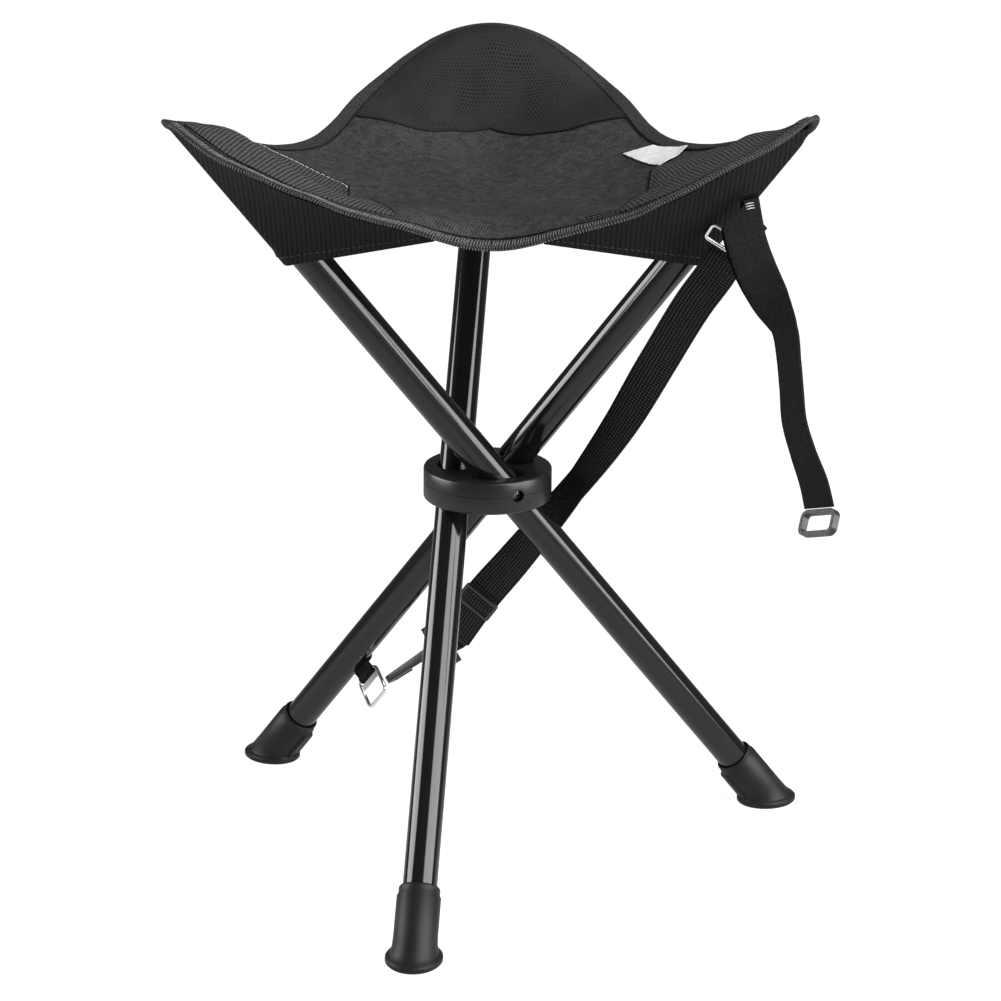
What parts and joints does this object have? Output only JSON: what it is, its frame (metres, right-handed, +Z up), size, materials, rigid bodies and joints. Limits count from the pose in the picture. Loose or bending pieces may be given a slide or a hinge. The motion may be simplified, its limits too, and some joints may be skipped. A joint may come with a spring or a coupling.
{
  "type": "folding three-leg stool",
  "caption": "Folding stool on straight crossed tube legs that turn in a round hub, with a fabric seat pocketed over the leg tops, rubber feet, a carrying strap and a storage strap.",
  "frame": {"origin": "on the floor, under the middle of the open stool's bounding box", "axes": "+Z up; the seat's front edge faces -Y and its rear corner points to +Y; the strap corner is on the +X side"},
  "size_m": [0.427, 0.4526, 0.5203],
  "materials": {
    "black_plastic": "moulded black plastic, satin",
    "dark_steel": "blackened steel screws",
    "black_paint": "gloss black powder coat on steel tube",
    "grey_rubber": "matte dark grey rubber",
    "chrome": "bright plated wire",
    "mesh_cloth": "ribbed reinforcement cloth, black",
    "trim_cloth": "woven binding tape, black",
    "label_cloth": "white woven label, blank",
    "webbing": "woven black webbing",
    "hook_and_loop": "black hook-and-loop tape",
    "seat_cloth": "coated black oxford cloth"
  },
  "bodies": {
    "hub": {"hub_upper_shell": "black_plastic", "hub_lower_shell": "black_plastic", "pivot_screw_a": "dark_steel", "pivot_screw_b": "dark_steel", "pivot_screw_c": "dark_steel", "hub_closing_screw_a": "dark_steel", "hub_closing_screw_b": "dark_steel", "hub_closing_screw_c": "dark_steel", "seat_panel": "seat_cloth", "edge_binding_front": "trim_cloth", "edge_binding_right": "trim_cloth", "edge_binding_left": "trim_cloth", "corner_patch_a": "mesh_cloth", "corner_patch_b": "mesh_cloth", "corner_patch_c": "mesh_cloth", "care_label": "label_cloth"},
    "leg_a": {"leg_tube_a": "black_paint", "top_cap_a": "black_plastic", "foot_a": "grey_rubber", "corner_pocket_a": "seat_cloth"},
    "leg_b": {"leg_tube_b": "black_paint", "top_cap_b": "black_plastic", "foot_b": "grey_rubber", "corner_pocket_b": "seat_cloth", "shoulder_strap": "webbing", "snap_hook": "black_plastic", "lower_ring_tab": "webbing", "upper_ring_tab": "webbing", "storage_strap": "hook_and_loop"},
    "leg_c": {"leg_tube_c": "black_paint", "top_cap_c": "black_plastic", "foot_c": "grey_rubber", "corner_pocket_c": "seat_cloth"},
    "adjuster": {"strap_adjuster": "black_plastic"},
    "hook_gate": {"snap_hook_gate": "black_plastic"},
    "lower_ring": {"lower_ring": "chrome"},
    "upper_ring": {"upper_ring": "chrome"},
    "storage_ring": {"storage_ring": "black_plastic"}
  },
  "joints": [
    {"name": "fold_a", "type": "hinge", "parent": "hub", "child": "leg_a", "pos_m": [-0.00501, -0.01554, 0.2533], "axis": [-0.5, 0.866, 0], "range_deg": [0, 37], "deforming": ["seat_panel", "edge_binding_front", "edge_binding_right", "edge_binding_left", "corner_patch_a", "corner_patch_b", "corner_patch_c", "care_label", "corner_pocket_a"]},
    {"name": "fold_b", "type": "hinge", "parent": "hub", "child": "leg_b", "pos_m": [-0.01122, 0.02182, 0.2533], "axis": [-0.5, -0.866, 0], "range_deg": [0, 37], "deforming": ["corner_pocket_b", "shoulder_strap", "storage_strap"]},
    {"name": "fold_c", "type": "hinge", "parent": "hub", "child": "leg_c", "pos_m": [-0.04047, -0.00223, 0.2533], "axis": [1, 0, 0], "range_deg": [0, 37], "deforming": ["corner_pocket_c"]},
    {"name": "adjuster_slide", "type": "slide", "parent": "leg_b", "child": "adjuster", "axis": [-0.5037, 0.3612, -0.7848], "range_m": [-0.012, 0.008]},
    {"name": "hook_gate_hinge", "type": "hinge", "parent": "leg_b", "child": "hook_gate", "pos_m": [-0.06934, 0.07457, 0.09953], "axis": [-0.541, 0.3645, 0.7579], "range_deg": [0, 14], "stiffness_Nm_per_rad": 0.01},
    {"name": "lower_ring_swing", "type": "hinge", "parent": "leg_b", "child": "lower_ring", "pos_m": [-0.11102, 0.07944, 0.08235], "axis": [0.5469, -0.3157, 0.7754], "range_deg": [-6, 6]},
    {"name": "upper_ring_swing", "type": "hinge", "parent": "leg_b", "child": "upper_ring", "pos_m": [0.14175, -0.08613, 0.44344], "axis": [-0.8647, 0.0605, 0.4987], "range_deg": [-8, 8]},
    {"name": "storage_ring_swing", "type": "hinge", "parent": "leg_b", "child": "storage_ring", "pos_m": [0.20196, -0.13124, 0.28223], "axis": [-0.7162, 0.6332, -0.2935], "range_deg": [-75, 75]}
  ],
  "couplings": [
    {"joint": "fold_b", "follows": "fold_a", "ratio": 1},
    {"joint": "fold_c", "follows": "fold_a", "ratio": 1}
  ]
}
